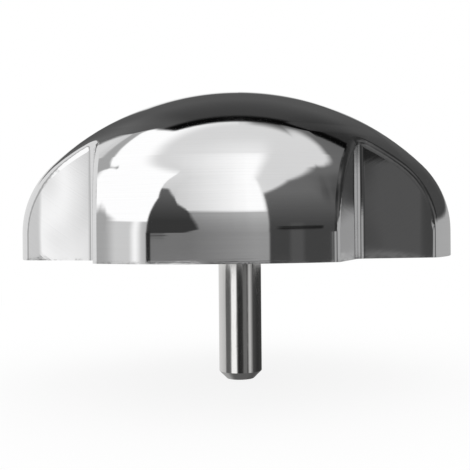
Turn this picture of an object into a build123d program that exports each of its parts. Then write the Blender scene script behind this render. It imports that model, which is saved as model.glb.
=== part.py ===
from build123d import *
from math import asin, cos, hypot, radians, sin, tan
import os

# Low fluted safety dome: a polished steel shell that sits on the paving, with one
# central pin set in a drilled hole. Millimetres, +Z up. The origin is on the pin's
# axis, in the plane of the rim, which is the level of the paving. Four flutes cut
# the rim on the diagonals, so the lobes between them are centred on X and Y.

# Dome shell, outside
dome_radius = 97.5
crown_height = 75.5
shoulder_radius = 41.0        # arc that rolls the crown over into the wall
wall_height = 11.2            # upright wall at the rim, below the shoulder
shell_wall = 4.0

# Flutes: upright V grooves with a small root radius and rolled edges
flute_count = 4
flute_root = 76.0             # from the axis to the point of the V
flute_flank_angle = 31.0      # each flank against a tangent to the rim
flute_root_radius = 5.0
flute_edge_radius = 4.5

# Base plate, welded inside the shell and set up from the rim to house the nut
plate_level = 14.0
plate_thickness = 5.0
grout_hole_diameter = 20.0
grout_hole_place = 48.0       # from the axis, below a flute

# Hub and the webs that carry the crown
hub_diameter = 44.0
web_thickness = 5.0
web_corner_notch = 7.0        # clears the hub's weld
web_hole_diameter = 18.0
web_hole_place = 48.0         # from the axis
web_hole_rise = 20.0          # above the plate

# Anchor pin, screwed into the hub and locked under the plate
pin_diameter = 20.0
pin_reach = 57.5              # below the rim
pin_chamfer = 3.6
pin_engagement = 36.0         # in the hub, above the plate
pin_lead_chamfer = 1.5
pin_undercut = 1.5            # depth of the groove where the thread ends, between rim and nut
bore_relief = 5.0             # hub bore beyond the pin's end
plate_hole_clearance = 0.5    # on the radius
washer_clearance = 0.4        # on the radius
thread_clearance = 0.05       # on the radius, in the hub and in the nut

# Lock nut and split washer
washer_outer_diameter = 33.0
washer_thickness = 3.0
washer_split = 2.5
washer_split_lean = 20.0      # degrees
nut_across_flats = 30.0
nut_thickness = 10.0
nut_corner_chamfer = 1.0

# Weld beads
plate_bead = 3.0              # leg of the beads under the plate's edge
plate_bead_sweep = 16.0       # degrees of rim that each covers
plate_bead_offset = 14.0      # degrees either side of a lobe's centre
hub_bead = 4.0
web_bead = 3.0
web_bead_setback = 8.0        # short of the shell's wall

pin_radius = pin_diameter / 2
hub_radius = hub_diameter / 2
plate_top = plate_level + plate_thickness
quarter = 360 / flute_count
washer_level = plate_level - washer_thickness
nut_level = washer_level - nut_thickness
overrun = 0.01                # cutters pass the ends of what they cut by this much


def radius_of(point):
    """Distance of a point from the pin's axis."""
    return hypot(point.X, point.Y)


def post(radius, bottom, height):
    """A round solid on the pin's axis."""
    return Pos(0, 0, bottom) * Cylinder(radius, height, align=(Align.CENTER, Align.CENTER, Align.MIN))


def dome_solid(inset):
    """The whole dome without flutes, taken in by inset all over."""
    shoulder_x = dome_radius - shoulder_radius
    drop = crown_height - wall_height
    crown_radius = (shoulder_x**2 + drop**2 - shoulder_radius**2) / (2 * (drop - shoulder_radius))
    crown_centre = crown_height - crown_radius
    meet = asin(shoulder_x / (crown_radius - shoulder_radius))
    half_turn = (meet + radians(90)) / 2
    crown = crown_radius - inset
    shoulder = shoulder_radius - inset

    def on_crown(angle):
        return (crown * sin(angle), crown_centre + crown * cos(angle))

    wall_top = (dome_radius - inset, wall_height)
    shoulder_mid = (shoulder_x + shoulder * sin(half_turn), wall_height + shoulder * cos(half_turn))
    with BuildPart() as dome:
        with BuildSketch(Plane.XZ):
            with BuildLine():
                Line((0, 0), (dome_radius - inset, 0))
                Line((dome_radius - inset, 0), wall_top)
                ThreePointArc(wall_top, shoulder_mid, on_crown(meet))
                ThreePointArc(on_crown(meet), on_crown(meet / 2), on_crown(0))
                Line(on_crown(0), (0, 0))
            make_face()
        revolve(axis=Axis.Z)
    return dome.part


def flute_tools(inset):
    """The upright cutters, grown by inset into the dome."""
    angle = radians(flute_flank_angle)
    root = flute_root - inset / cos(angle)
    depth = dome_radius - root + flute_root_radius
    spread = depth / tan(angle)
    outline = Polyline((root, 0), (root + depth, spread), (root + depth, -spread), close=True)
    cutter = Pos(0, 0, -overrun) * extrude(make_face(outline), crown_height + 2 * overrun)
    root_edges = [edge for edge in cutter.edges().filter_by(Axis.Z) if radius_of(edge @ 0.5) < root + overrun]
    cutter = fillet(root_edges, flute_root_radius + inset)
    return [Rot(0, 0, quarter * (turn + 0.5)) * cutter for turn in range(flute_count)]


def fluted_dome():
    """The outside of the shell as a solid, with the flutes' edges rolled over."""
    dome = dome_solid(0)
    for cutter in flute_tools(0):
        dome = dome - cutter
    rolled = []
    for edge in dome.edges():
        middle = edge @ 0.5
        upright = abs((edge % 0.5).Z) > 0.999
        in_the_rim = middle.Z < overrun
        in_a_root = upright and radius_of(middle) < dome_radius - overrun
        round_the_axis = edge.geom_type == GeomType.CIRCLE and radius_of(edge.arc_center) < overrun
        if not (in_the_rim or in_a_root or round_the_axis):
            rolled.append(edge)
    return fillet(rolled, flute_edge_radius)


def hollow():
    """The space inside the shell."""
    space = dome_solid(shell_wall)
    for cutter in flute_tools(shell_wall):
        space = space - cutter
    return space


def dome_shell(space):
    """Pressed and polished shell, open below."""
    return fluted_dome() - space


def base_plate(space):
    """Lobed plate that closes the hollow, with the pin's hole and four grout holes."""
    plate = space & post(dome_radius, plate_level, plate_thickness)
    plate = plate - post(pin_radius + plate_hole_clearance, 0, crown_height)
    for turn in range(flute_count):
        place = Rot(0, 0, quarter * (turn + 0.5)) * Pos(grout_hole_place, 0, 0)
        plate = plate - place * post(grout_hole_diameter / 2, 0, crown_height)
    return plate


def hub(space):
    """Boss between the plate and the crown, with the pin's blind threaded bore."""
    boss = space & post(hub_radius, plate_top, crown_height)
    return boss - post(pin_radius + thread_clearance, 0, plate_top + pin_engagement + bore_relief)


def web(space, turn):
    """Radial web from the hub out to one lobe, standing on the plate."""
    blank = Pos(0, 0, plate_top) * Box(
        dome_radius, web_thickness, crown_height, align=(Align.MIN, Align.CENTER, Align.MIN)
    )
    corner = Pos(hub_radius, 0, plate_top) * Rot(90, 0, 0) * Cylinder(web_corner_notch, 2 * web_thickness)
    opening = Pos(web_hole_place, 0, plate_top + web_hole_rise) * Rot(90, 0, 0)
    opening = opening * Cylinder(web_hole_diameter / 2, 2 * web_thickness)
    blank = blank - post(hub_radius, 0, 2 * crown_height) - corner - opening
    return space & (Rot(0, 0, quarter * turn) * blank)


def anchor_pin():
    """Round bar, chamfered at both ends, with a groove where its plain shank ends."""
    bar = post(pin_radius, -pin_reach, pin_reach + plate_top + pin_engagement)
    top = bar.edges().filter_by(GeomType.CIRCLE).sort_by(Axis.Z)[-1]
    bar = chamfer(top, pin_lead_chamfer)
    tip = bar.edges().filter_by(GeomType.CIRCLE).sort_by(Axis.Z)[0]
    bar = chamfer(tip, pin_chamfer)
    groove = post(2 * pin_radius, 0, nut_level) - post(pin_radius - pin_undercut, 0, nut_level)
    return bar - groove


def lock_washer():
    """Split spring washer, flattened under the plate."""
    ring = post(washer_outer_diameter / 2, washer_level, washer_thickness)
    ring = ring - post(pin_radius + washer_clearance, 0, plate_level)
    slit = Pos(washer_outer_diameter / 2, 0, plate_level) * Rot(washer_split_lean, 0, 0)
    return ring - slit * Box(washer_outer_diameter / 2 + pin_radius, washer_split, 4 * washer_thickness)


def lock_nut():
    """Thin hexagon nut that locks the pin against the plate."""
    corner_radius = nut_across_flats / 2 / cos(radians(30))
    blank = extrude(RegularPolygon(corner_radius, 6), nut_thickness)
    turned = post(corner_radius, 0, nut_thickness)
    turned = chamfer(turned.edges().filter_by(GeomType.CIRCLE), nut_corner_chamfer, 2 * nut_corner_chamfer)
    nut = (blank & turned) - post(pin_radius + thread_clearance, -nut_thickness, 3 * nut_thickness)
    return Pos(0, 0, nut_level) * nut


def bead_section(leg_across, leg_up):
    """Corner-filling triangle of weld, from the joint's own corner."""
    return make_face(Polyline((0, 0), (leg_across, 0), (0, leg_up), close=True))


def plate_weld_beads(space):
    """Stitch welds between the plate's underside and the shell, two in each lobe."""
    section = Plane.XZ * Pos(dome_radius - shell_wall, plate_level) * bead_section(-plate_bead, -plate_bead)
    bead = Rot(0, 0, -plate_bead_sweep / 2) * revolve(section, axis=Axis.Z, revolution_arc=plate_bead_sweep)
    beads = []
    for turn in range(flute_count):
        for side in (-1, 1):
            angle = quarter * turn + side * plate_bead_offset
            beads.append(space & (Rot(0, 0, angle) * bead))
    return Compound(beads)


def hub_weld_bead():
    """Fillet weld all round the hub's foot."""
    section = Plane.XZ * Pos(hub_radius, plate_top) * bead_section(hub_bead, hub_bead)
    return revolve(section, axis=Axis.Z)


def web_weld_beads():
    """Fillet welds along both sides of each web's foot."""
    start = hub_radius + web_corner_notch
    run = dome_radius - shell_wall - web_bead_setback - start
    beads = []
    for turn in range(flute_count):
        for side in (-1, 1):
            section = Pos(side * web_thickness / 2, plate_top) * bead_section(side * web_bead, web_bead)
            bead = extrude(Plane.YZ.offset(start) * section, run)
            beads.append(Rot(0, 0, quarter * turn) * bead)
    return Compound(beads)


space = hollow()
parts = {
    "dome_shell": dome_shell(space),
    "base_plate": base_plate(space),
    "hub": hub(space),
    "anchor_pin": anchor_pin(),
    "lock_washer": lock_washer(),
    "lock_nut": lock_nut(),
    "plate_weld_beads": plate_weld_beads(space),
    "hub_weld_bead": hub_weld_bead(),
    "web_weld_beads": web_weld_beads(),
}
for turn in range(flute_count):
    parts[f"web_{turn + 1}"] = web(space, turn)

os.makedirs("parts", exist_ok=True)
for name, piece in parts.items():
    export_step(piece, f"parts/{name}.step")
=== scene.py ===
import bpy
from math import cos, degrees, pi, radians, sin
from mathutils import Matrix, Vector


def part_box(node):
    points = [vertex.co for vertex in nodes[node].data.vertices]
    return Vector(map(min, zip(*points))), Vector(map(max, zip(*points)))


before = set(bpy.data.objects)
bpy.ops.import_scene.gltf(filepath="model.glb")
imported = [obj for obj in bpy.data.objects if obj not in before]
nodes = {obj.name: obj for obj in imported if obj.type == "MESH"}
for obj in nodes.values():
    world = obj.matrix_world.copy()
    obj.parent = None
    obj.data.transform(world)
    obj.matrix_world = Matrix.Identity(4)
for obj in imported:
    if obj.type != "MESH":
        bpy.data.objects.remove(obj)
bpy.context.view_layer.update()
shellLow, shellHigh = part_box("dome_shell")
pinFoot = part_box("anchor_pin")[0].z
domeRadius = (shellHigh.x - shellLow.x) / 2
print("frame loaded:", len(nodes), "nodes, dome radius", round(domeRadius, 4))


class Wire:
    # a socket that can be used in sums; node() makes any other node

    def __init__(self, tree, socket=None):
        self.tree = tree
        self.socket = socket

    def node(self, kind, settings=None, links=None, out=0):
        made = self.tree.nodes.new(kind)
        for name, value in (settings or {}).items():
            if name == "stops":
                self.setStops(made.color_ramp, value)
            else:
                setattr(made, name, value)
        for name, value in (links or {}).items():
            if isinstance(value, Wire):
                self.tree.links.new(value.socket, made.inputs[name])
            else:
                made.inputs[name].default_value = value
        return Wire(self.tree, made.outputs[out] if made.outputs else None)

    def axes(self):
        split = self.node("ShaderNodeSeparateXYZ", links={"Vector": self})
        return [Wire(self.tree, split.socket.node.outputs[axis]) for axis in "XYZ"]

    def setStops(self, ramp, stops):
        while len(ramp.elements) < len(stops):
            ramp.elements.new(0.5)
        for element, (place, level) in zip(ramp.elements, sorted(stops)):
            element.position = place
            element.color = (level, level, level, 1)

    def maths(self, operation, *others):
        values = [self, *others]
        return self.node("ShaderNodeMath", {"operation": operation}, dict(enumerate(values)))

    def __add__(self, other): return self.maths("ADD", other)
    def __sub__(self, other): return self.maths("SUBTRACT", other)
    def __mul__(self, other): return self.maths("MULTIPLY", other)
    def __truediv__(self, other): return self.maths("DIVIDE", other)
    def __pow__(self, other): return self.maths("POWER", other)
    def __neg__(self): return self.maths("MULTIPLY", -1.0)
    __radd__ = __add__
    __rmul__ = __mul__

    def __rsub__(self, other):
        return (-self) + other

    def between(self, low, high):
        # 0 below low, 1 above high, smooth in between; low above high falls instead
        return self.node(
            "ShaderNodeMapRange",
            {"interpolation_type": "SMOOTHSTEP"},
            {"Value": self, "From Min": low, "From Max": high},
        )

    def ramp(self, low, high):
        # as between, in a straight line
        return self.node("ShaderNodeMapRange", links={"Value": self, "From Min": low, "From Max": high})

    def toward(self, other, amount):
        return self + (other - self) * amount


cameraSet = {
    "distance": 4.0,      # dome radii from the pin's axis
    "turn": 6.0,          # degrees round from the front
    "height": 0.0122,     # over the rim
    "lens": 63.3,
    "sensor": 36.0,
    "roll": 0.5,          # degrees
    "pastAxis": 3.0,      # degrees that the lens points to the right of the pin
    "shiftX": -0.1015,
    "shiftY": -0.0125,
}


def addCamera(setting):
    bpy.ops.object.camera_add()
    camera = bpy.context.object
    camera.name = "camera"
    turn = radians(setting["turn"])
    away = setting["distance"] * domeRadius
    place = Vector((away * sin(turn), -away * cos(turn), setting["height"]))
    facing = Matrix.Rotation(turn - radians(setting["pastAxis"]), 4, "Z") @ Matrix.Rotation(pi / 2, 4, "X")
    lean = Matrix.Rotation(-radians(setting["roll"]), 4, "Z")
    camera.matrix_world = Matrix.Translation(place) @ facing @ lean
    camera.data.lens = setting["lens"]
    camera.data.sensor_width = setting["sensor"]
    camera.data.shift_x = setting["shiftX"]
    camera.data.shift_y = setting["shiftY"]
    camera.data.clip_start = 0.01
    bpy.context.scene.camera = camera


addCamera(cameraSet)
bpy.context.scene.view_settings.view_transform = "Standard"
print("camera set")


studioSet = {
    "facing": 6.0,         # degrees that the studio is turned with the camera
    "backdrop": 1.0,       # what the camera sees past the floor
    "softLight": 1.15,     # what the floor is lit by
    "floorGlow": 0.86,     # how far the lit sweep washes the shadow out
    "exposure": 1.07,      # lifts the reflected studio for the steel's own loss
}


def inBand(value, low, high, soft):
    # 1 between low and high, with soft edges
    return value.between(low - soft, low + soft) * value.between(high + soft, high - soft)


# What the polished steel sees comes next, piece by piece. Angles are in degrees: round from the
# front, more to the right, or up from level. Tones run from 0 to 255. A pair is a soft edge.

def skyPlaces(direction, facing):
    # where a direction points: round, up, and sideways and backwards on a flat ceiling one unit up
    x, y, z = direction.axes()
    ahead = x * sin(facing) - y * cos(facing)
    right = x * cos(facing) + y * sin(facing)
    over = z.maths("MAXIMUM", 0.02)
    return {
        "compass": right.maths("ARCTAN2", ahead) * degrees(1),
        "height": z.maths("ARCSINE") * degrees(1),
        "across": right / over,
        "behind": -(ahead / over),
    }


softBoxSet = {
    "edge": (15.6, 12.6),        # hard right-hand edge of the bright strip in front
    "rise": (-40, 5),            # over which the strip brightens to the right
    "foot": (20.2, 23.4),        # lower edge of the box
    "overhead": (54, 64),        # from here up the strip runs over the ceiling
    "stripLeft": (-0.4, 0.05),
    "stripRight": (0.19, 0.10),
    "stripEnd": (0.36, -0.1),
    "leftFrom": (-52, -66),
    "bright": 254.0,
    "overheadTone": 212.0,
    "rightTone": 214,
    "middleTone": 190,
    "leftTone": 208,
    "wallTone": 113,             # front wall under the box
}


def softBox(sky, setting):
    compass, height = sky["compass"], sky["height"]
    overhead = height.between(*setting["overhead"])
    leftOfEdge = compass.between(*setting["edge"])
    strip = sky["across"].ramp(*setting["stripLeft"]) * sky["across"].between(*setting["stripRight"])
    strip = strip * sky["behind"].between(*setting["stripEnd"])
    rise = (compass.ramp(*setting["rise"]) * leftOfEdge).toward(strip, overhead)
    onRight = setting["rightTone"] - compass.ramp(15, 100) * 16 + compass.ramp(140, 180) * 10
    inMiddle = setting["middleTone"] + (height - 27) * 0.7
    onLeft = compass.ramp(-180, -118) * 36 + setting["leftTone"]
    plain = onRight.toward(inMiddle, leftOfEdge).toward(onLeft, compass.between(*setting["leftFrom"]))
    box = plain.toward(setting["overheadTone"], overhead).toward(setting["bright"], rise)
    wall = compass.ramp(-24, 8) * 32 + setting["wallTone"] + height.ramp(2, 18) * 28
    return wall.toward(box, height.between(*setting["foot"]))


cardSet = {
    "edge": -46.3,               # next to the flag
    "edgeLean": (35, 0.36),      # it leans away from 35 degrees up, by this much a degree
    "outerEdge": -66.0,
    "outerLean": (13, 1.15),
    "top": (66, 58),
    "foot": (9.8, 11.6),
    "bright": 254.0,
    "footTone": 172,
    "pastTone": 160.0,
    "farTone": 214.0,
}


def leaningEdge(height, edge, lean):
    start, slope = lean
    return edge - (height - start).maths("MAXIMUM", 0) * slope


def whiteCard(tone, sky, setting):
    # card on the left with a grey foot, and what stands past it
    compass, height = sky["compass"], sky["height"]
    fromEdge = compass - leaningEdge(height, setting["edge"], setting["edgeLean"])
    fromOuter = compass - leaningEdge(height, setting["outerEdge"], setting["outerLean"])
    foot = setting["footTone"] + compass.ramp(-46.5, -50.5) * 26 + inBand(compass, -54.6, -50.6, 2.0) * 46
    card = foot.toward(setting["bright"], height.between(*setting["foot"]))
    tone = tone.toward(card, fromEdge.between(0.7, -0.7) * height.between(*setting["top"]))
    tone = tone.toward(setting["pastTone"], fromOuter.between(3, -5) * height.between(52, 38))
    tone = tone.toward(setting["farTone"], fromOuter.between(-8, -16) * height.between(50, 38))
    stand = inBand(height, 43.5, 50.5, 0.8) * inBand(compass, -150, -106, 2)
    return tone.toward(setting["pastTone"], stand)


flagSet = {
    "edge": -20.5,               # right-hand edge, 6 degrees up
    "lean": 0.32,                # it leans to the left, by this much a degree
    "topLean": (20, 0.5),        # and more from 20 degrees up
    "spread": (5, 3.5),          # below 5 degrees it runs out to the left
    "top": (46, 43),
    "bottom": (-0.8, 0.4),
    "tone": 56,
    "seam": (-46.6, -44.4),      # dark gap between card and flag, near level
    "seamTone": 46.0,
}


def darkFlag(tone, sky, setting):
    # leaning triangle between the card and the strip
    compass, height = sky["compass"], sky["height"]
    fromCard = compass - leaningEdge(height, cardSet["edge"], cardSet["edgeLean"])
    spreadFrom, spread = setting["spread"]
    slant = leaningEdge(height, setting["edge"] - (height - 6) * setting["lean"], setting["topLean"])
    slant = slant - (spreadFrom - height).maths("MAXIMUM", 0) * spread
    flag = fromCard.between(-0.6, 0.8) * (compass - slant).between(1.4, -1.4)
    flag = flag * height.between(*setting["top"]) * height.between(*setting["bottom"])
    tone = tone.toward(setting["tone"] + height.ramp(12, 40) * 36, flag)
    return tone.toward(setting["seamTone"], inBand(compass, *setting["seam"], 0.5) * height.between(6, 2))


sideSet = {
    "edge": (14.0, 15.6),        # where the dark side starts
    "end": (178, 170),
    "tone": 66,
    "farTone": 66,
    "blackTone": 48.0,
    "lip": (4.9, 6.4),           # thin dark bar
    "lipTone": 34.0,
    "kicker": (78, 170),         # low light behind it
    "kickerTone": 162.0,
    "frontKicker": (45, 70),
    "frontKickerTone": 150.0,
}


def kickerShare(sky, setting):
    return inBand(sky["compass"], *setting["kicker"], 4) * sky["height"].between(7.0, 3.5)


def darkSide(tone, sky, setting):
    # unlit studio on the right, up to the straight edge of the soft box
    compass, height = sky["compass"], sky["height"]
    boxEdge = 41 + compass.ramp(15, 36) * 13 + compass.ramp(36, 72) * 8.5
    side = (height - boxEdge).between(3.0, -2.0) * compass.between(*setting["edge"])
    side = side * compass.between(*setting["end"])
    dark = setting["tone"] + height.ramp(4, 42) * 36
    dark = dark + inBand(compass, 25, 32, 1.5) * height.between(11, 5) * 14
    ripple = (compass * 0.16).maths("SINE") + (height * 0.21 + compass * 0.07).maths("SINE")
    far = compass.between(44, 60) * height.between(60, 40)
    dark = dark.toward(setting["farTone"] + ripple * 11, far)
    dark = dark.toward(setting["blackTone"], inBand(compass, 112, 142, 6) * height.between(52, 42))
    lip = inBand(height, *setting["lip"], 0.5) * compass.between(17, 22) * compass.between(43, 40)
    dark = dark.toward(setting["lipTone"], lip)
    tone = tone.toward(dark, side).toward(setting["kickerTone"], kickerShare(sky, setting))
    front = inBand(compass, *setting["frontKicker"], 1) * height.between(2.6, 0.6)
    return tone.toward(setting["frontKickerTone"], front)


backSet = {
    "wallTop": (0.52, 0.56),     # backwards over height, where the soft box ends
    "gap": (0.545, 0.66),        # black gap between the box and the wall
    "wallFoot": (18, 22),
    "sweepTop": (19, 15),
    "wallTone": 84,
    "gapTone": 16.0,
    "sweepTone": 238.0,
}


def backWall(tone, sky, setting):
    # the soft box ends in a black gap, then a dark wall over a white sweep
    compass, height, behind = sky["compass"], sky["height"], sky["behind"]
    onRight = compass.between(0, 60)
    leftEnd = compass.between(-149, -152) * (1 - onRight)
    sides = compass.between(124, 132) + leftEnd
    wall = behind.between(*setting["wallTop"]) * sides.maths("MINIMUM", 1.0)
    footing = compass.between(163, 159) * onRight
    footing = footing + height.between(7, 10) * inBand(compass, -169, -140, 1.5)
    wall = wall * height.between(*setting["wallFoot"]).maths("MAXIMUM", footing)
    dark = setting["wallTone"] - behind.between(1.5, 0.62) * 20 - inBand(compass, 120, 156, 12) * 16
    dark = dark + leftEnd * compass.between(-164, -154) * 16
    dark = dark.toward(setting["gapTone"], inBand(behind, *setting["gap"], 0.035))
    tone = tone.toward(dark, wall * (1 - kickerShare(sky, sideSet)))
    sweep = compass.between(166, 172) + compass.between(-169, -172) * (1 - onRight)
    sweep = (height.between(*setting["sweepTop"]) * sweep).maths("MINIMUM", 1.0)
    return tone.toward(setting["sweepTone"], sweep)


footSet = {
    "stops": [                   # degrees round, share of white
        (-180, 0.86), (-105, 0.76), (-88, 0.72), (-80, 0.36), (-60, 0.36), (-52, 0.50), (-46, 0.97),
        (-22, 0.97), (-15, 0.32), (-8, 0.17), (10, 0.20), (18, 0.40), (32, 0.42), (40, 0.30),
        (46, 0.62), (52, 0.74), (62, 0.60), (74, 0.28), (105, 0.20), (150, 0.25), (180, 0.60),
    ],
    "top": (-2.42, -2.55),
    "softer": (-11, -15),        # the pin's chamfer sees them softened
    "ground": (-45, -70),
    "groundTone": 92.0,
}


def footTones(compass, setting):
    # the stands, cards and gaps low down, which only upright faces below the rim see
    place = (compass + 180) / 360
    placed = [((angle + 180) / 360, level) for angle, level in setting["stops"]]
    ramp = place.node("ShaderNodeValToRGB", {"stops": placed}, {"Fac": place})
    grey = ramp.node("ShaderNodeRGBToBW", links={"Color": ramp})
    return grey * 255


def belowLevel(tone, sky, setting):
    compass, height = sky["compass"], sky["height"]
    feet = footTones(compass, setting)
    tone = tone.toward(feet, height.between(*setting["top"]))
    tone = tone.toward(feet * 0.5 + 50, height.between(*setting["softer"]))
    return tone.toward(setting["groundTone"], height.between(*setting["ground"]))


def lightStudio(setting):
    # only glossy rays see the studio's pieces; the floor is lit by one even, soft light
    world = bpy.data.worlds.new("studio")
    bpy.context.scene.world = world
    world.use_nodes = True
    tree = world.node_tree
    tree.nodes.clear()
    bench = Wire(tree)
    sky = skyPlaces(bench.node("ShaderNodeTexCoord", out="Generated"), radians(setting["facing"]))
    tone = softBox(sky, softBoxSet)
    tone = whiteCard(tone, sky, cardSet)
    tone = darkFlag(tone, sky, flagSet)
    tone = darkSide(tone, sky, sideSet)
    tone = backWall(tone, sky, backSet)
    tone = belowLevel(tone, sky, footSet)
    seen = (tone / 255).maths("MAXIMUM", 0.0) ** 2.2 * setting["exposure"]

    rays = bench.node("ShaderNodeLightPath", out="Is Camera Ray")
    glossy = Wire(tree, rays.socket.node.outputs["Is Glossy Ray"])
    level = (seen - setting["softLight"]) * glossy + setting["softLight"]
    level = level.toward(setting["backdrop"], rays)
    background = bench.node("ShaderNodeBackground", links={"Color": level, "Strength": 1.0})
    bench.node("ShaderNodeOutputWorld", links={"Surface": background})


lightStudio(studioSet)
print("studio lit")


def newMaterial(name):
    material = bpy.data.materials.new(name)
    material.use_nodes = True
    material.node_tree.nodes.clear()
    return material, Wire(material.node_tree)


floorSet = {
    "reach": 0.9,          # metres
    "grey": 0.9,
    "shade": (1.2, 5),     # dome radii over which its shadow fades out
}


def addFloor(setting):
    bpy.ops.object.select_all(action="DESELECT")
    bpy.ops.mesh.primitive_circle_add(
        vertices=96, radius=setting["reach"], fill_type="NGON", location=(0, 0, pinFoot)
    )
    floor = bpy.context.object
    floor.name = "floor"
    material, bench = newMaterial("paleFloor")
    spot = bench.node("ShaderNodeTexCoord", out="Object")
    away = bench.node("ShaderNodeVectorMath", {"operation": "LENGTH"}, {0: spot}, out="Value")
    paper = bench.node("ShaderNodeBsdfDiffuse", links={"Color": (*[setting["grey"]] * 3, 1)})
    glow = {"Color": (1, 1, 1, 1), "Strength": studioSet["backdrop"]}
    white = bench.node("ShaderNodeEmission", links=glow)
    near, far = (share * domeRadius for share in setting["shade"])
    fade = away.between(near, far) * (1 - studioSet["floorGlow"]) + studioSet["floorGlow"]
    mixed = bench.node("ShaderNodeMixShader", links={"Fac": fade, 1: paper, 2: white})
    bench.node("ShaderNodeOutputMaterial", links={"Surface": mixed})
    floor.data.materials.append(material)
    floor.visible_glossy = False


addFloor(floorSet)
print("floor laid")


def noise(place, scale, detail):
    return place.node("ShaderNodeTexNoise", links={"Vector": place, "Scale": scale, "Detail": detail})


def finishSteel(bench, colour, roughness, relief):
    # relief is its height, strength and distance
    raised = dict(zip(("Height", "Strength", "Distance"), relief))
    bump = bench.node("ShaderNodeBump", links=raised, out="Normal")
    look = {"Base Color": colour, "Metallic": 1.0, "Roughness": roughness, "Normal": bump}
    steel = bench.node("ShaderNodeBsdfPrincipled", links=look)
    bench.node("ShaderNodeOutputMaterial", links={"Surface": steel})


polishSet = {
    "grey": 0.93,
    "roughness": 0.03,
    "haze": 0.035,         # extra roughness in the hazier patches
    "swirl": 0.02,         # and in the polishing lines
    "lineSpacing": 0.0007, # polishing lines round the dome
    "lineDepth": 0.05,
    "rimWear": 0.0016,     # height over which the rim is scuffed by the paving
    "dents": 150.0,        # how far the pressed flutes wander from flat
    "fluteWidth": (0.044, 0.030),
    "fluteStart": (0.068, 0.074),
}


def polishedSteel(setting):
    # mirror finish with faint lines from the polishing wheel, hazy patches and a scuffed rim
    material, bench = newMaterial("polishedSteel")
    spot = bench.node("ShaderNodeTexCoord", out="Object")
    x, y, z = spot.axes()
    out = (x * x + y * y).maths("SQRT")
    track = (out - z) / setting["lineSpacing"] + noise(spot, 14.0, 2.0) * 3
    turned = bench.node("ShaderNodeCombineXYZ", links={"X": track, "Y": y.maths("ARCTAN2", x) * 1.6})
    lines = noise(turned, 1.0, 3.0)
    haze = noise(spot, 26.0, 3.0)
    scuff = z.between(setting["rimWear"], 0.0) * noise(spot, 420.0, 3.0).between(0.42, 0.7)
    roughness = haze.between(0.52, 0.78) * setting["haze"] + setting["roughness"]
    roughness = roughness + lines.between(0.5, 0.75) * setting["swirl"] + scuff * 0.10
    grey = setting["grey"] - haze.between(0.45, 0.8) * 0.03 - (lines - 0.5) * 0.07 - scuff * 0.12
    fromDiagonal = (x.maths("ABSOLUTE") - y.maths("ABSOLUTE")).maths("ABSOLUTE")
    flute = fromDiagonal.between(*setting["fluteWidth"]) * out.between(*setting["fluteStart"])
    height = lines * 0.7 + scuff * 0.6 + noise(spot, 24.0, 1.0) * flute * setting["dents"]
    colour = bench.node("ShaderNodeCombineColor", links={0: grey, 1: grey, 2: grey * 1.004})
    finishSteel(bench, colour, roughness, (height, setting["lineDepth"], 0.0001))
    return material


# each bare steel: how light, how rough, how fine its grain, which way that runs, how deep it is
steelSet = {
    "drawn": {"level": 0.88, "roughness": 0.07, "scale": 60.0, "stretch": (18.0, 18.0, 0.5), "depth": 0.05},
    "turned": {"level": 0.62, "roughness": 0.26, "scale": 60.0, "stretch": (1.0, 1.0, 30.0), "depth": 0.15},
    "rolled": {"level": 0.56, "roughness": 0.34, "scale": 60.0, "stretch": (1.0, 14.0, 14.0), "depth": 0.12},
    "fastener": {"level": 0.66, "roughness": 0.24, "scale": 90.0, "stretch": (1.0, 1.0, 1.0), "depth": 0.12},
}


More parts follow.
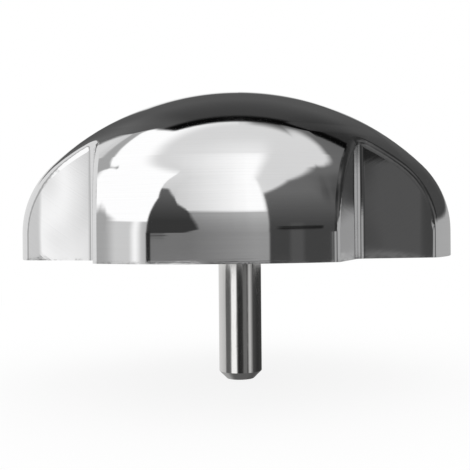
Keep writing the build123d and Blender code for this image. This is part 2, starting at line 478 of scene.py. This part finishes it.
def bareSteel(name, setting):
    # grain stretched one way, cloudy patches, a few dull marks
    material, bench = newMaterial(name + "Steel")
    spot = bench.node("ShaderNodeTexCoord", out="Object")
    laid = spot.node("ShaderNodeMapping", links={"Vector": spot, "Scale": setting["stretch"]})
    grain = noise(laid, setting["scale"], 4.0)
    patch = noise(spot, 45.0, 3.0)
    marks = noise(laid, 300.0, 4.0).between(0.6, 0.74)
    grey = setting["level"] + (grain - 0.5) * 0.10 + (patch - 0.5) * 0.10 - marks * 0.08
    roughness = setting["roughness"] + (grain - 0.5) * 0.12 + marks * 0.12
    colour = bench.node("ShaderNodeCombineColor", links={0: grey * 1.01, 1: grey, 2: grey * 0.985})
    finishSteel(bench, colour, roughness, (grain + marks * 0.5, setting["depth"], 0.0003))
    return material


weldSet = {
    "level": 0.42,
    "roughness": 0.36,
    "ripple": 0.0016,      # from one ripple of the bead to the next
    "rippleDepth": 0.5,
}


def weldMetal(setting):
    # rippled bead with straw and blue heat tint
    material, bench = newMaterial("weldMetal")
    spot = bench.node("ShaderNodeTexCoord", out="Object")
    x, y = spot.axes()[:2]
    wander = noise(spot, 260.0, 2.0)
    run = (x.maths("ABSOLUTE") + y.maths("ABSOLUTE")) * (2 * pi / setting["ripple"]) + wander * 4
    ripple = run.maths("SINE") * 0.5 + 0.5
    heat = noise(spot, 70.0, 2.0)
    straw, blue = heat.between(0.42, 0.56), heat.between(0.56, 0.66)
    grey = setting["level"] + ripple * 0.12
    red = grey + straw * 0.10 - blue * 0.16
    green = grey + straw * 0.03 - blue * 0.08
    tint = grey - straw * 0.08 + blue * 0.14
    colour = bench.node("ShaderNodeCombineColor", links={0: red, 1: green, 2: tint})
    roughness = setting["roughness"] + (heat - 0.5) * 0.2
    finishSteel(bench, colour, roughness, (ripple + wander * 0.4, setting["rippleDepth"], 0.0004))
    return material


def dress(node, material):
    for place in nodes[node].material_slots:
        place.material = material


steels = {name: bareSteel(name, setting) for name, setting in steelSet.items()}
weld = weldMetal(weldSet)
dress("dome_shell", polishedSteel(polishSet))
dress("anchor_pin", steels["drawn"])
dress("hub", steels["turned"])
dress("base_plate", steels["rolled"])
for name in nodes:
    if "weld" in name:
        dress(name, weld)
    elif name.startswith("web_"):
        dress(name, steels["rolled"])
    elif name.startswith("lock_"):
        dress(name, steels["fastener"])
print("steels made")
